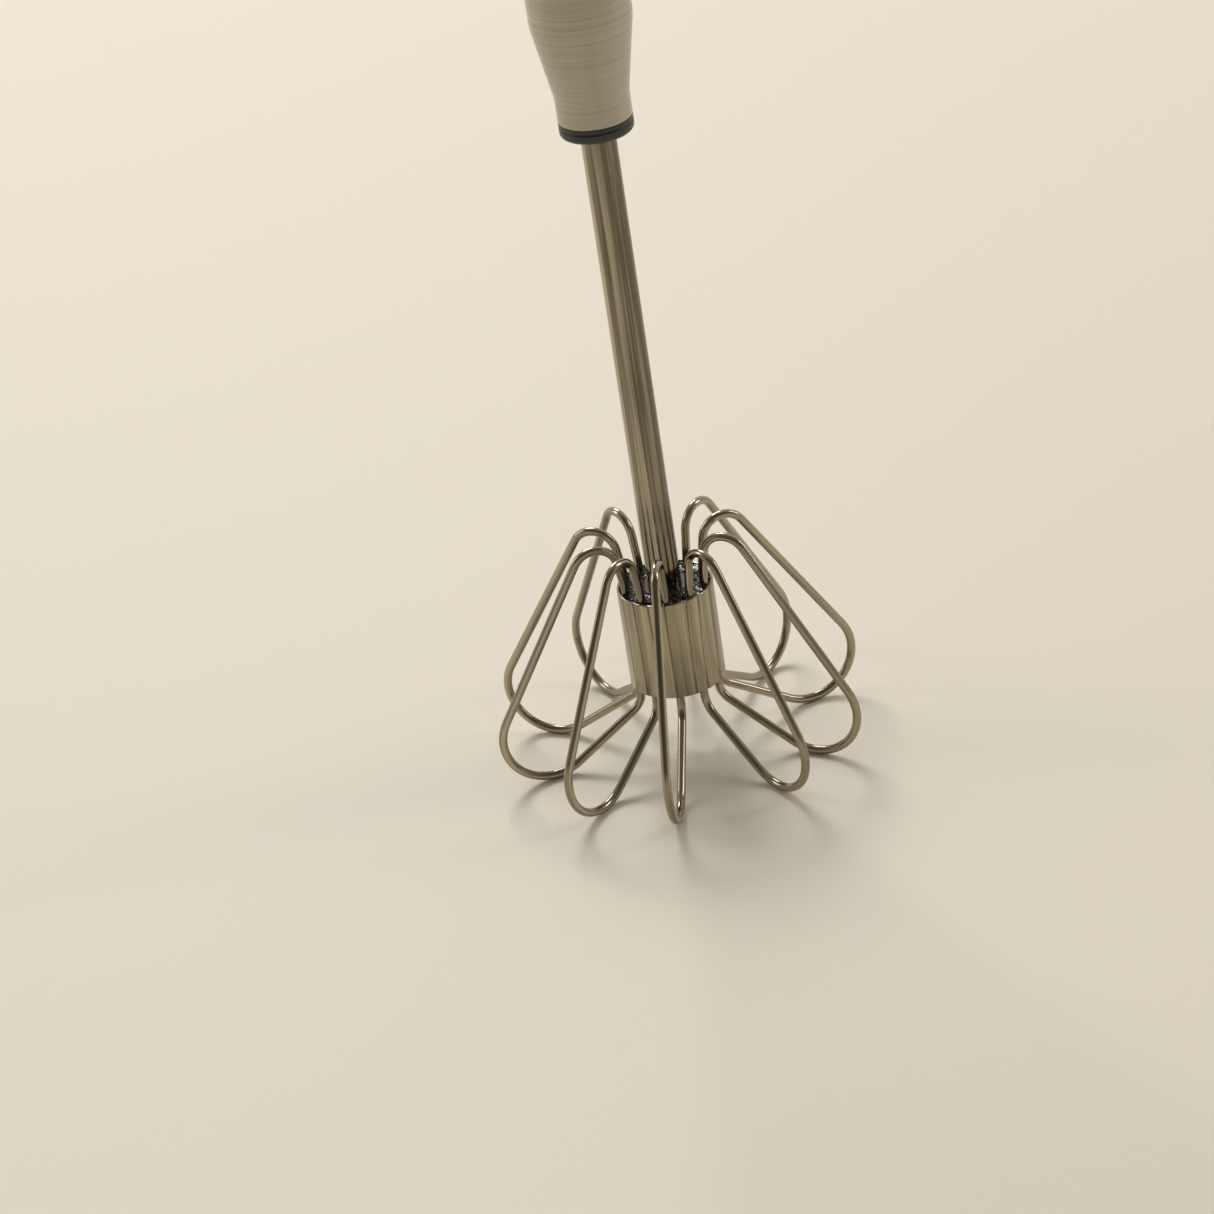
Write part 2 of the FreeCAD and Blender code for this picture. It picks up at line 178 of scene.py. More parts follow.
# %% [markdown]
# ## Finishes
# Worn steel is never one roughness. Four small groups make the unevenness: fine lines left along
# a piece by drawing, fine lines left round it by brushing, stray scratches, and soft smudges
# from fingers and washing. Each group gives out one mask. A finish then says how far that mask
# changes its tone, its roughness or its bump. First come the few moves that build any of them.

# %% Node helpers
def add(tree, kind, links=(), **settings):
    """A node with its settings, and links given as (from socket, input name or number)."""
    node = tree.nodes.new(kind)
    for key, value in settings.items():
        setattr(node, key, value)
    for source, target in links:
        tree.links.new(source, node.inputs[target])
    return node


def remap(tree, value, low, high, to_low=0.0, to_high=1.0):
    """Stretch a value from one range to another, clamped."""
    node = add(tree, "ShaderNodeMapRange", [(value, "Value")])
    limits = {"From Min": low, "From Max": high, "To Min": to_low, "To Max": to_high}
    for label, number in limits.items():
        node.inputs[label].default_value = number
    return node.outputs["Result"]


def multiply(tree, first, second):
    """Product of a socket and a socket or number."""
    node = add(tree, "ShaderNodeMath", [(first, 0)], operation="MULTIPLY")
    if isinstance(second, (int, float)):
        node.inputs[1].default_value = second
    else:
        tree.links.new(second, node.inputs[1])
    return node.outputs[0]


def stretched_noise(tree, vector, scale, stretch, detail=3.0):
    """Noise on a vector that is scaled differently along each axis."""
    mapping = add(tree, "ShaderNodeMapping", [(vector, "Vector")])
    mapping.inputs["Scale"].default_value = stretch
    noise = add(tree, "ShaderNodeTexNoise", [(mapping.outputs[0], "Vector")])
    noise.inputs["Scale"].default_value = scale
    noise.inputs["Detail"].default_value = detail
    return noise.outputs["Fac"]


def new_group(name):
    """A shader group with a vector and a strength going in, and one mask coming out."""
    group = bpy.data.node_groups.new(name, "ShaderNodeTree")
    group.interface.new_socket("Vector", in_out="INPUT", socket_type="NodeSocketVector")
    strength = group.interface.new_socket("Strength", in_out="INPUT", socket_type="NodeSocketFloat")
    strength.default_value = 1.0
    group.interface.new_socket("Mask", in_out="OUTPUT", socket_type="NodeSocketFloat")
    return group, group.nodes.new("NodeGroupInput")


def give_out(group, inside, mask):
    """Send the mask out of its group, at the strength that came in."""
    outside = group.nodes.new("NodeGroupOutput")
    group.links.new(multiply(group, mask, inside.outputs["Strength"]), outside.inputs["Mask"])
    return group


print("node helpers are ready")


# %% [markdown]
# Both kinds of line are noise that is drawn out very long in one direction, a fine one and a
# wide one added together. Along Z it is the mark of a die that a tube or wire was pulled
# through, and where it darkens the steel its wide noise also paints dark reflection bands along
# the piece. Round Z it is the mark of an abrasive belt.

# %% Groups for the lines
GRAIN_RANGE = (0.75, 1.25)


def grain_group(name, fine_grain, wide_grain):
    """Lines from two noises. Each is given by its scale, its stretch and its detail."""
    group, inside = new_group(name)
    fine = stretched_noise(group, inside.outputs["Vector"], *fine_grain)
    wide = stretched_noise(group, inside.outputs["Vector"], *wide_grain)
    both = add(group, "ShaderNodeMath", [(fine, 0), (wide, 1)], operation="ADD")
    return give_out(group, inside, remap(group, both.outputs[0], *GRAIN_RANGE))


GROUPS = {
    "lines": grain_group("drawn_lines_and_reflection_bands", (1800, (1, 1, 0.012), 4), (420, (1, 1, 0.006), 2)),
    "brushed": grain_group("brushed_round", (3200, (0.004, 0.004, 1), 2), (1100, (0.004, 0.004, 1), 1)),
}
print("line groups:", sorted(GROUPS))


# %% [markdown]
# A scratch is noise drawn out along one slanting direction and cut off high, so that only its
# thin peaks are left. Two directions are used, and a broad noise breaks the hairs up so that
# they end. A smudge is a broad soft patch with fine speckle in it.

# %% Groups for the wear
SCRATCH_TURNS = (0.5, -0.9)  # how far each family of hairs is turned, in radians
SCRATCH_SCALE = 900
SCRATCH_STRETCH = (1, 0.03, 0.03)
SCRATCH_RANGE = (0.72, 0.77)
GAP_SCALE = 140
GAP_RANGE = (0.45, 0.6)
PATCH_SCALE = 70
PATCH_RANGE = (0.36, 0.74)
SPECK_SCALE = 3000
SPECK_RANGE = (0.3, 0.7, 0.85, 1)


def scratches_group():
    """Stray hair scratches in two directions, broken up so that they end."""
    group, inside = new_group("stray_scratches")
    masks = []
    for turn in SCRATCH_TURNS:
        mapping = add(group, "ShaderNodeMapping", [(inside.outputs["Vector"], "Vector")])
        mapping.inputs["Rotation"].default_value = (turn, turn * 0.6, turn * 1.7)
        mapping.inputs["Scale"].default_value = SCRATCH_STRETCH
        noise = add(group, "ShaderNodeTexNoise", [(mapping.outputs[0], "Vector")])
        noise.inputs["Scale"].default_value = SCRATCH_SCALE
        noise.inputs["Detail"].default_value = 1
        masks.append(remap(group, noise.outputs["Fac"], *SCRATCH_RANGE))
    both = add(group, "ShaderNodeMath", [(masks[0], 0), (masks[1], 1)], operation="MAXIMUM")
    cloud = stretched_noise(group, inside.outputs["Vector"], GAP_SCALE, (1, 1, 1))
    gaps = remap(group, cloud, *GAP_RANGE)
    return give_out(group, inside, multiply(group, both.outputs[0], gaps))


def smudges_group():
    """Soft cloudy patches with fine speckle in them."""
    group, inside = new_group("smudges")
    broad = stretched_noise(group, inside.outputs["Vector"], PATCH_SCALE, (1, 1, 0.6), 1)
    fine = stretched_noise(group, inside.outputs["Vector"], SPECK_SCALE, (1, 1, 1), 1)
    patch = remap(group, broad, *PATCH_RANGE)
    speck = remap(group, fine, *SPECK_RANGE)
    return give_out(group, inside, multiply(group, patch, speck))


GROUPS["scratches"] = scratches_group()
GROUPS["smudges"] = smudges_group()
print("groups:", sorted(GROUPS))


# %% [markdown]
# Every steel here is the same metal with a different surface, so one function makes them all.
# The base colour is a warm grey, darker and warmer than clean steel, which is partly a painted
# warm reflection. The masks change the tone and the roughness a little, and the lines also tilt
# the light with a very low bump. Where the lines darken the tone, that is partly drawn grain and
# partly painted dark reflection bands. The scratches have no bump, because even a low one makes
# them look raised. The coordinates are the object's own, or the straight wire's.

# %% Steel
SMUDGE_TINT = 0.3  # how far the smudges darken steel
LINE_WEAR, SMUDGE_WEAR, SCRATCH_WEAR = 0.35, 0.5, 0.2  # how far each mask roughens it
GRAIN_BUMP = 0.25


def use_group(tree, key, vector, strength=1.0):
    """The mask of one of the groups, inside a material."""
    node = add(tree, "ShaderNodeGroup", node_tree=GROUPS[key])
    tree.links.new(vector, node.inputs["Vector"])
    node.inputs["Strength"].default_value = strength
    return node.outputs["Mask"]


def new_material(name):
    """A node material with nothing but its Principled shader, and that shader."""
    material = bpy.data.materials.new(name)
    material.use_nodes = True
    return material, material.node_tree, material.node_tree.nodes["Principled BSDF"]


def mix_colours(tree, factor, first, second):
    """The first colour where the factor is 0, and the second where it is 1."""
    node = add(tree, "ShaderNodeMix", [(factor, "Factor")], data_type="RGBA")
    node.inputs["A"].default_value = (*first, 1)
    node.inputs["B"].default_value = (*second, 1)
    return node.outputs["Result"]


def add_masks(tree, first, second):
    """Sum of two masks."""
    return add(tree, "ShaderNodeMath", [(first, 0), (second, 1)]).outputs[0]


def steel(name, tones, roughness, grain="lines", height=0.0006, line_and_band_shade=0.75, attribute=None):
    """Stainless steel between two tones and two roughnesses. The grain's height is in mm."""
    material, tree, shader = new_material(name)
    if attribute:
        vector = add(tree, "ShaderNodeAttribute", attribute_name=attribute).outputs["Vector"]
    else:
        vector = add(tree, "ShaderNodeTexCoord").outputs["Object"]
    lines = use_group(tree, grain, vector)
    scratches = use_group(tree, "scratches", vector)
    smudges = use_group(tree, "smudges", vector)

    # The lines darken the tone partly as drawn grain and partly as painted dark reflection bands; the
    # smudges darken it as dirt.
    tone = add_masks(tree, multiply(tree, lines, line_and_band_shade), multiply(tree, smudges, SMUDGE_TINT))
    tree.links.new(mix_colours(tree, tone, *tones), shader.inputs["Base Color"])
    wear = add_masks(tree, multiply(tree, lines, LINE_WEAR), multiply(tree, smudges, SMUDGE_WEAR))
    wear = add_masks(tree, wear, multiply(tree, scratches, SCRATCH_WEAR))
    tree.links.new(remap(tree, wear, 0, 1, *roughness), shader.inputs["Roughness"])

    bump = add(tree, "ShaderNodeBump", [(lines, "Height")])
    bump.inputs["Strength"].default_value = GRAIN_BUMP
    bump.inputs["Distance"].default_value = height * MM
    tree.links.new(bump.outputs[0], shader.inputs["Normal"])
    shader.inputs["Metallic"].default_value = 1.0
    return material


# Each pair is the bare tone and the darker tone in the lines. On the wires, the ferrule and the
# spindle that dark tone is partly drawn grain and partly a painted dark reflection band.
WARM_AND_BAND_SHADE = ((0.52, 0.455, 0.335), (0.15, 0.13, 0.095))
GRIP = ((0.47, 0.43, 0.36), (0.36, 0.325, 0.265))
CAP = ((0.47, 0.43, 0.36), (0.34, 0.31, 0.255))
STRIP = ((0.52, 0.50, 0.47), (0.38, 0.36, 0.33))
SPRING = ((0.40, 0.38, 0.36), (0.28, 0.27, 0.25))
FINISHES = {
    "wire_steel": steel("wire_steel", WARM_AND_BAND_SHADE, (0.06, 0.22), attribute="straight"),
    "ferrule_steel": steel("ferrule_steel", WARM_AND_BAND_SHADE, (0.09, 0.26), height=0.001),
    # The spindle's lines darken it furthest, for a painted dark reflection band down the tube.
    "spindle_steel": steel("spindle_steel", WARM_AND_BAND_SHADE, (0.07, 0.28), height=0.0012, line_and_band_shade=1.15),
    "handle_steel": steel("handle_steel", GRIP, (0.2, 0.33), "brushed", 0.0008, 0.7),
    "cap_steel": steel("cap_steel", CAP, (0.08, 0.22), "brushed", 0.0003, 0.5),
    "strip_steel": steel("strip_steel", STRIP, (0.25, 0.45)),
    "spring_steel": steel("spring_steel", SPRING, (0.28, 0.5)),
}
print("steels:", sorted(FINISHES))


# %% [markdown]
# The plastics are simpler. Moulded plastic has a faint grain and a roughness that wanders. The
# black filling round the wires was poured and set hard, so it is glossy with tiny lumps. The
# rubber has a soft, dusty bloom.

# %% Plastics and rubber
SCRATCHES_ON_PLASTIC = 0.6
SMUDGES_ON_PLASTIC = 0.7
PLASTIC_BUMP = 0.4
COAT_ROUGHNESS = 0.06


def plastic(name, tones, roughness, grain, grain_scale, coat=0.0):
    """Moulded material between two tones and two roughnesses. The grain's height is in mm."""
    material, tree, shader = new_material(name)
    vector = add(tree, "ShaderNodeTexCoord").outputs["Object"]
    smudges = use_group(tree, "smudges", vector)
    scratches = use_group(tree, "scratches", vector, SCRATCHES_ON_PLASTIC)
    tree.links.new(mix_colours(tree, smudges, *tones), shader.inputs["Base Color"])
    wear = add_masks(tree, multiply(tree, smudges, SMUDGES_ON_PLASTIC), scratches)
    tree.links.new(remap(tree, wear, 0, 1, *roughness), shader.inputs["Roughness"])
    noise = stretched_noise(tree, vector, grain_scale, (1, 1, 1))
    bump = add(tree, "ShaderNodeBump", [(noise, "Height")])
    bump.inputs["Strength"].default_value = PLASTIC_BUMP
    bump.inputs["Distance"].default_value = grain * MM
    tree.links.new(bump.outputs[0], shader.inputs["Normal"])
    shader.inputs["Coat Weight"].default_value = coat
    shader.inputs["Coat Roughness"].default_value = COAT_ROUGHNESS
    return material


# Each pair is the clean tone and the smudged one.
FILLING = ((0.006, 0.006, 0.006), (0.014, 0.013, 0.012))
CORE = ((0.010, 0.010, 0.011), (0.028, 0.027, 0.026))
BUSH = ((0.02, 0.02, 0.021), (0.040, 0.039, 0.038))
RUBBER = ((0.06, 0.06, 0.06), (0.11, 0.108, 0.105))
NUT = ((0.72, 0.70, 0.64), (0.80, 0.785, 0.73))
FINISHES["black_filling"] = plastic("black_filling", FILLING, (0.05, 0.16), 0.2, 700)
FINISHES["core_plastic"] = plastic("core_plastic", CORE, (0.14, 0.34), 0.02, 1600, coat=0.5)
FINISHES["bush_plastic"] = plastic("bush_plastic", BUSH, (0.32, 0.5), 0.03, 2200)
FINISHES["wiper_rubber"] = plastic("wiper_rubber", RUBBER, (0.55, 0.75), 0.04, 2600)
FINISHES["nut_plastic"] = plastic("nut_plastic", NUT, (0.35, 0.55), 0.03, 1800)
print("finishes:", len(FINISHES))


# %% [markdown]
# ## Finishes on the frame's own pieces
# The pieces inside the handle and the ferrule keep the frame's shapes, because little shows of
# them: only the end of the core's boss, round the spindle. Each still gets the finish of its
# slot, so an opened whisk looks right.

# %% Dress the frame
slot_of = {part["node"]: part["material_slot"] for part in frame["record"]["subparts"]}
for name, node in nodes.items():
    node.data.materials.clear()
    node.data.materials.append(FINISHES[slot_of[name]])
print("dressed:", len(nodes))


# %% [markdown]
# ## The wires
# A real loop is one straight wire pushed through a bender: a run, a bend, a run, a bend. The
# model does the same. A small ring is extruded for each run and spun for each bend, always to
# the same side, until the turns add up to a full circle and the loop is back at the ferrule.
# The bends are worked out first, from a few sizes of the head.

# %% The bending table
ferrule_low, ferrule_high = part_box("hub_ferrule")
RIM_Z = ferrule_high.z
FERRULE_H = ferrule_high.z - ferrule_low.z
FERRULE_R = ferrule_high.x
WIRE_R = 0.9 * MM
HEAD_R = 40 * MM
SEAT_R = 8.45 * MM
SEAT_DEPTH = 8 * MM
ARCH_RISE = 11.5 * MM
SEAT_BEND_R = 12 * MM
ARCH_BEND_R = 4.8 * MM
WAIST_BEND_R = 10 * MM
THROAT_BEND_R = 5 * MM
THROAT_DROP = 1.4 * MM
LEAN = math.radians(8.5)
FLARE = math.radians(31.5)


def bending_table():
    """(run, bend radius, bend angle) from the upper seat round to the lower one."""
    lean_top_z = ARCH_RISE - ARCH_BEND_R * (1 - math.sin(LEAN))
    lean_run = (lean_top_z - SEAT_BEND_R * math.sin(LEAN)) / math.cos(LEAN)
    lean_x = SEAT_R + SEAT_BEND_R * (1 - math.cos(LEAN)) + lean_run * math.sin(LEAN)
    leg_x = lean_x + ARCH_BEND_R * (math.cos(LEAN) + math.cos(FLARE))
    leg_z = ARCH_RISE - ARCH_BEND_R * (1 - math.sin(FLARE))
    waist_x = HEAD_R - WIRE_R - WAIST_BEND_R
    leg_run = (waist_x + WAIST_BEND_R * math.cos(FLARE) - leg_x) / math.sin(FLARE)
    waist_z = leg_z - leg_run * math.cos(FLARE) - WAIST_BEND_R * math.sin(FLARE)
    across_x = SEAT_R + THROAT_BEND_R - waist_x
    across_z = -FERRULE_H - THROAT_DROP - waist_z
    across = math.hypot(across_x, across_z)
    aside = math.asin((WAIST_BEND_R - THROAT_BEND_R) / across)
    heading = math.atan2(across_z, across_x) - aside
    under_run = across * math.cos(aside)
    return (
        (SEAT_DEPTH, SEAT_BEND_R, LEAN),
        (lean_run, ARCH_BEND_R, math.pi - LEAN - FLARE),
        (leg_run, WAIST_BEND_R, math.pi / 2 + FLARE + math.pi - heading),
        (under_run, THROAT_BEND_R, heading - math.pi / 2),
        (SEAT_DEPTH + THROAT_DROP, 0, 0),
    )


TABLE = bending_table()
for run, radius, angle in TABLE:
    print(f"run {run / MM:.1f} mm, then {math.degrees(angle):.1f} degrees at {radius / MM:.1f} mm")


# %% [markdown]
# The ring has 28 sides, and a bend gets a ring about every six degrees. Spin leaves the newest
# ring selected, so the next move carries straight on from it. Each ring's place on the straight
# wire is noted as the loop grows, and kept in an attribute, so that the drawn lines follow the
# wire round its bends.

# %% Bend one loop
WIRE_SIDES = 28
BEND_STEP = math.radians(6)


def bend_loop():
    """One loop in the XZ plane, with its seat upright and the head to its +X side."""
    start = Vector((SEAT_R, 0, RIM_Z - SEAT_DEPTH))
    deselect()
    bpy.ops.mesh.primitive_circle_add(vertices=WIRE_SIDES, radius=WIRE_R, location=start)
    loop = bpy.context.object
    bpy.ops.object.transform_apply(location=True)
    bpy.ops.object.mode_set(mode="EDIT")
    bpy.ops.mesh.select_all(action="SELECT")
    tip, heading, along = start.copy(), math.pi / 2, 0.0
    ring_along = [0.0]
    for run, radius, angle in TABLE:
        way = Vector((math.cos(heading), 0, math.sin(heading)))
        bpy.ops.mesh.extrude_region_move(TRANSFORM_OT_translate={"value": way * run})
        tip += way * run
        along += run
        ring_along.append(along)
        if radius:
            centre = tip + Vector((way.z, 0, -way.x)) * radius
            steps = max(2, round(angle / BEND_STEP))
            bpy.ops.mesh.spin(steps=steps, angle=angle, center=centre, axis=(0, -1, 0))
            heading -= angle
            tip = centre + Vector((-math.sin(heading), 0, math.cos(heading))) * radius
            ring_along += [along + radius * angle * (i + 1) / steps for i in range(steps)]
            along += radius * angle
    bpy.ops.object.mode_set(mode="OBJECT")
    print("loop length", round(along / MM, 1), "mm, rings", len(ring_along), "tip", tip / MM)
    return loop, ring_along


def note_straight(loop, ring_along):
    """Store where each corner of the mesh was while the wire was still straight."""
    places = loop.data.attributes.new("straight", "FLOAT_VECTOR", "POINT")
    for index, place_on_wire in enumerate(places.data):
        ring, side = divmod(index, WIRE_SIDES)
        turn = math.tau * side / WIRE_SIDES
        place_on_wire.vector = (WIRE_R * math.cos(turn), WIRE_R * math.sin(turn), ring_along[ring])


loop, ring_along = bend_loop()
note_straight(loop, ring_along)


# %% [markdown]
# The bent ring is open at both ends, inside the ferrule. A face closes each end, and the mesh is
# smoothed.

# %% Close the loop
activate(loop)
bpy.ops.object.mode_set(mode="EDIT")
bpy.ops.mesh.select_all(action="DESELECT")
bpy.ops.mesh.select_non_manifold()
bpy.ops.mesh.edge_face_add()
finish_mesh(loop, angle=40)
loop.data.materials.append(FINISHES["wire_steel"])
print("loop faces", len(loop.data.polygons))


# %% [markdown]
# Ten copies are turned to their seats, evenly round the axis. Hand-set wires are never quite
# even, so each loop is also turned a few degrees about its own seat, and the front loops go to
# and fro about that.

# %% Copy and set the loops
WIRE_COUNT = 10
FIRST_SEAT_DEG = -90
LOOP_TURN_DEG = -3
LOOP_ZIGZAG_DEG = 5
ZIGZAG_LOOPS = 4


def seat_angle(index):
    """Where a wire stands round the axis."""
    return math.radians(360 / WIRE_COUNT * index + FIRST_SEAT_DEG)


def loop_turn(index):
    """How far a loop is turned about its own seat."""
    if index < ZIGZAG_LOOPS:
        return math.radians(LOOP_TURN_DEG - LOOP_ZIGZAG_DEG * (-1) ** index)
    return math.radians(LOOP_TURN_DEG)


for index in range(WIRE_COUNT):
    wire = loop.copy()
    wire.data = loop.data.copy()
    bpy.context.collection.objects.link(wire)
    wire.name = wire.data.name = f"bent_wire_{index + 1:02d}"
    seat = Matrix.Translation((SEAT_R, 0, 0))
    own = seat @ Matrix.Rotation(loop_turn(index), 4, "Z") @ seat.inverted()
    round_axis = Matrix.Rotation(seat_angle(index), 4, "Z")
    wire.data.transform(round_axis @ own)
    place(wire, "whisk", "wire_steel", f"whisk_wire_{index + 1:02d}")
bpy.data.objects.remove(loop)


# %% [markdown]
# ## The ferrule
# A ferrule is a short piece of thin steel tube whose two edges were tumbled round. It is turned
# here from its outline: down the outside, in round the lower edge, up the bore, and out round
# the rim. The round edges are real geometry, because the rim's bright line comes from them.

# %% Ferrule
FERRULE_WALL = 0.6 * MM
FERRULE_BORE_R = FERRULE_R - FERRULE_WALL
FERRULE_EDGE_R = 0.24 * MM


def rounded_wall(outer, inner, low, high, edge):
    """Outline of a wall with four round edges, clockwise from its outer upper edge."""
    outline = rounded((outer - edge, high - edge), edge, 90, 0)
    outline += rounded((outer - edge, low + edge), edge, 0, -90)
    outline += rounded((inner + edge, low + edge), edge, -90, -180)
    outline += rounded((inner + edge, high - edge), edge, 180, 90)
    return outline


outline = rounded_wall(FERRULE_R, FERRULE_BORE_R, ferrule_low.z, RIM_Z, FERRULE_EDGE_R)
ferrule = turned("ferrule_sleeve", outline, WIDE_SIDES)
ferrule.data.materials.append(FINISHES["ferrule_steel"])
place(ferrule, "whisk", "ferrule_steel", "hub_ferrule")


# %% [markdown]
# ## The filling round the wires
# The wires are held by a black filling that was poured in and set. Before it set, it crept up
# every wire, up the boss and up the ferrule's wall, and left a small curved skirt round each.
# A fine ring of faces is made first. Then the corners near each wire are lifted with a falloff,
# as a sculptor pinches clay. The mound is highest at the wire and all but gone a millimetre off.

# %% A pool with skirts
FILL_SIDES = 360
FILL_RINGS = 30
SKIRT_RISE = 0.42 * MM
SKIRT = 1.1 * MM
WALL_FADE, WIRE_FADE = 0.32, 0.38  # as parts of the skirt
WALL_SHARE = 0.55  # a wall's skirt against a wire's
WAVE_RISE = 0.09 * MM
WAVE_RATES = (2.9, 2.3)  # radians in a millimetre, along X and along Y
WAVE_STARTS = (1, -0.6)
ON_LEVEL = 1e-7


def pool(name, inner, outer, level, depth, side):
    """A ring of filling with a fine open face. side is 1 when that face looks up, or -1."""
    piece = start_ring(name, inner, level - side * depth, FILL_SIDES)
    step_ring((inner, level - side * depth), (inner, level))
    here = inner
    for ring in range(FILL_RINGS):
        there = inner + (outer - inner) * (ring + 1) / FILL_RINGS
        step_ring((here, level), (there, level))
        here = there
    step_ring((outer, level), (outer, level - side * depth))
    step_ring((outer, level - side * depth), (inner, level - side * depth))
    return finish_mesh(piece, angle=60)


def seat_point(index):
    """The middle of a wire, seen from above."""
    angle = seat_angle(index)
    return Vector((SEAT_R * math.cos(angle), SEAT_R * math.sin(angle), 0))


SEATS = [seat_point(index) for index in range(WIRE_COUNT)]


def lift_skirts(piece, level, side, inner, outer):
    """Raise the open face close to the walls and the wires, and roughen it a little."""
    mesh = piece.data
    for corner in mesh.vertices:
        if abs(corner.co.z - level) > ON_LEVEL:
            continue
        radius = math.hypot(corner.co.x, corner.co.y)
        gap = min(radius - inner, outer - radius)
        near_wall = math.exp(-gap / (SKIRT * WALL_FADE))
        near_wire = 0.0
        for seat in SEATS:
            away = math.hypot(corner.co.x - seat.x, corner.co.y - seat.y) - WIRE_R
            near_wire = max(near_wire, math.exp(-max(away, 0) / (SKIRT * WIRE_FADE)))
        across_wave = math.sin(corner.co.x / MM * WAVE_RATES[0] + WAVE_STARTS[0])
        waves = across_wave * math.cos(corner.co.y / MM * WAVE_RATES[1] + WAVE_STARTS[1])
        lift = SKIRT_RISE * max(WALL_SHARE * near_wall, near_wire) + WAVE_RISE * waves
        corner.co.z += side * lift
    mesh.update()


print("wire seats:", len(SEATS), "on a radius of", round(SEAT_R / MM, 2), "mm")


# %% [markdown]
# The upper pool lies between the core's boss and the ferrule. The lower one has no boss in it,
# so it reaches in to the spindle.

# %% The two fillings
BOSS_R = 4.8 * MM
TUBE_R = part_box("spindle_tube")[1].x
FILL_RECESS = 0.5 * MM
FILL_DEPTH = 2.5 * MM
FILL_GAP = 0.01 * MM
fill_outer = FERRULE_BORE_R - FILL_GAP
fill_level = RIM_Z - FILL_RECESS
filling = pool("filling_above", BOSS_R, fill_outer, fill_level, FILL_DEPTH, 1)
lift_skirts(filling, fill_level, 1, BOSS_R, fill_outer)
filling.data.materials.append(FINISHES["black_filling"])
place(filling, "whisk", "black_filling", "upper_filling")

under_level = ferrule_low.z + FILL_RECESS
under = pool("filling_below", TUBE_R, fill_outer, under_level, FILL_DEPTH, -1)
lift_skirts(under, under_level, -1, TUBE_R, fill_outer)
under.data.materials.append(FINISHES["black_filling"])
place(under, "whisk", "black_filling", "lower_filling")


# %% [markdown]
# ## The spindle and its plug
# The spindle is a drawn tube. Its surface is one smooth cylinder, and the interest is in the
# finish, which has faint lines along it. The lower end is closed by a small domed plug.

# %% Spindle tube and plug
TUBE_WALL = 0.6 * MM
TUBE_EDGE_R = 0.15 * MM
PLUG_INSET = 0.65 * MM  # the tube's wall, and a gap to press the plug in
PLUG_SIDES = 96
PLUG_DOME_STEPS = 10
tube_low, tube_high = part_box("spindle_tube")
tube_outline = rounded_wall(TUBE_R, TUBE_R - TUBE_WALL, tube_low.z, tube_high.z, TUBE_EDGE_R)
spindle = turned("spindle", tube_outline)
spindle.data.materials.append(FINISHES["spindle_steel"])
place(spindle, "whisk", "spindle_steel", "spindle_tube")


def domed(radius, base, height, steps):
    """Outline points of a low dome from its edge to near the axis."""
    ball = (radius**2 + height**2) / (2 * abs(height))
    full = math.asin(radius / ball)
    side = math.copysign(1, height)
    points = []
    for step in range(1, steps + 1):
        angle = full * (1 - step / (steps + 1))
        points.append((ball * math.sin(angle), base + height - side * ball * (1 - math.cos(angle))))
    return points


plug_low, plug_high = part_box("tube_end_plug")
plug_r = TUBE_R - PLUG_INSET
plug_outline = [(plug_r, plug_high.z), (plug_r, tube_low.z), (TUBE_R, tube_low.z)]
plug_outline += domed(TUBE_R, tube_low.z, plug_low.z - tube_low.z, PLUG_DOME_STEPS)
end_plug = capped("spindle_end_plug", plug_outline, PLUG_SIDES, angle=50)
end_plug.data.materials.append(FINISHES["core_plastic"])
place(end_plug, "whisk", "core_plastic", "tube_end_plug")


# %% [markdown]
# ## The handle
# The grip is a steel tube, drawn in to a neck at its lower end and finished with a belt, which
# leaves lines that run round it. Its outer edges are rolled a little. The outline goes up the
# neck, the two soft bends of the shoulder and the straight grip, and comes back down the bore.

# %% Handle shell
shell_low, shell_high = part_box("handle_shell")
GRIP_R = shell_high.x
SHELL_WALL = 0.8 * MM
NECK_R = 7.3 * MM
NECK_H = 5 * MM
SHOULDER_H = 15 * MM
SHOULDER_R = 14 * MM
SHELL_EDGE_R = 0.3 * MM


def shoulder(inset):
    """Outline from the neck's foot to the grip's top, moved in from the outer surface."""
    slope = math.atan2(GRIP_R - NECK_R, SHOULDER_H)
    shift = inset * math.tan(slope / 2)
    foot, head = shell_low.z + NECK_H + shift, shell_low.z + NECK_H + SHOULDER_H + shift
    lower, upper = SHOULDER_R + inset, SHOULDER_R - inset
    lower_cut, upper_cut = lower * math.tan(slope / 2), upper * math.tan(slope / 2)
    slope_deg = math.degrees(slope)
    points = rounded((NECK_R - inset + lower, foot - lower_cut), lower, 180, 180 - slope_deg)
    points += rounded((GRIP_R - inset - upper, head + upper_cut), upper, -slope_deg, 0)
    return points


foot_corner = (NECK_R - SHELL_EDGE_R, shell_low.z + SHELL_EDGE_R)
head_corner = (GRIP_R - SHELL_EDGE_R, shell_high.z - SHELL_EDGE_R)
shell_outline = rounded(foot_corner, SHELL_EDGE_R, -90, 0)
shell_outline += shoulder(0)
shell_outline += rounded(head_corner, SHELL_EDGE_R, 0, 90)
shell_outline += [(GRIP_R - SHELL_WALL, shell_high.z)]
shell_outline += shoulder(SHELL_WALL)[::-1]
shell_outline += [(NECK_R - SHELL_WALL, shell_low.z)]
shell = turned("grip_shell", shell_outline, WIDE_SIDES)
shell.data.materials.append(FINISHES["handle_steel"])
place(shell, "handle", "handle_steel", "handle_shell")


# %% [markdown]
# ## The cap
# The cap closes the top of the grip. A narrow groove parts it from the shell, which is only the
# two rounded edges meeting. It is a band, a dome, and a skirt that is pressed into the shell.

